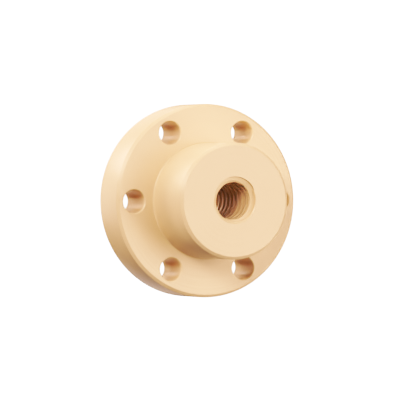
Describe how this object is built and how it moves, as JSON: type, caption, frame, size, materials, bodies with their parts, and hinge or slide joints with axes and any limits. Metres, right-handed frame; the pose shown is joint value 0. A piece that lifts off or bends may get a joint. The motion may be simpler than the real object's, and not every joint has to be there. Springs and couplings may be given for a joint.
{
  "type": "lead screw nut",
  "caption": "One-piece plastic nut for a trapezoidal lead screw, with a round bolt flange and a plain cylindrical hub.",
  "frame": {"origin": "centre of the bore at the flange's back face, which the nut stands on", "axes": "+Z along the bore, from the flange's back face towards the hub's free end; +X through the axis of one bolt hole"},
  "size_m": [0.042, 0.042, 0.025],
  "materials": {
    "cream_plastic": "satin"
  },
  "bodies": {
    "root": {"flanged_nut": "cream_plastic"}
  },
  "joints": []
}
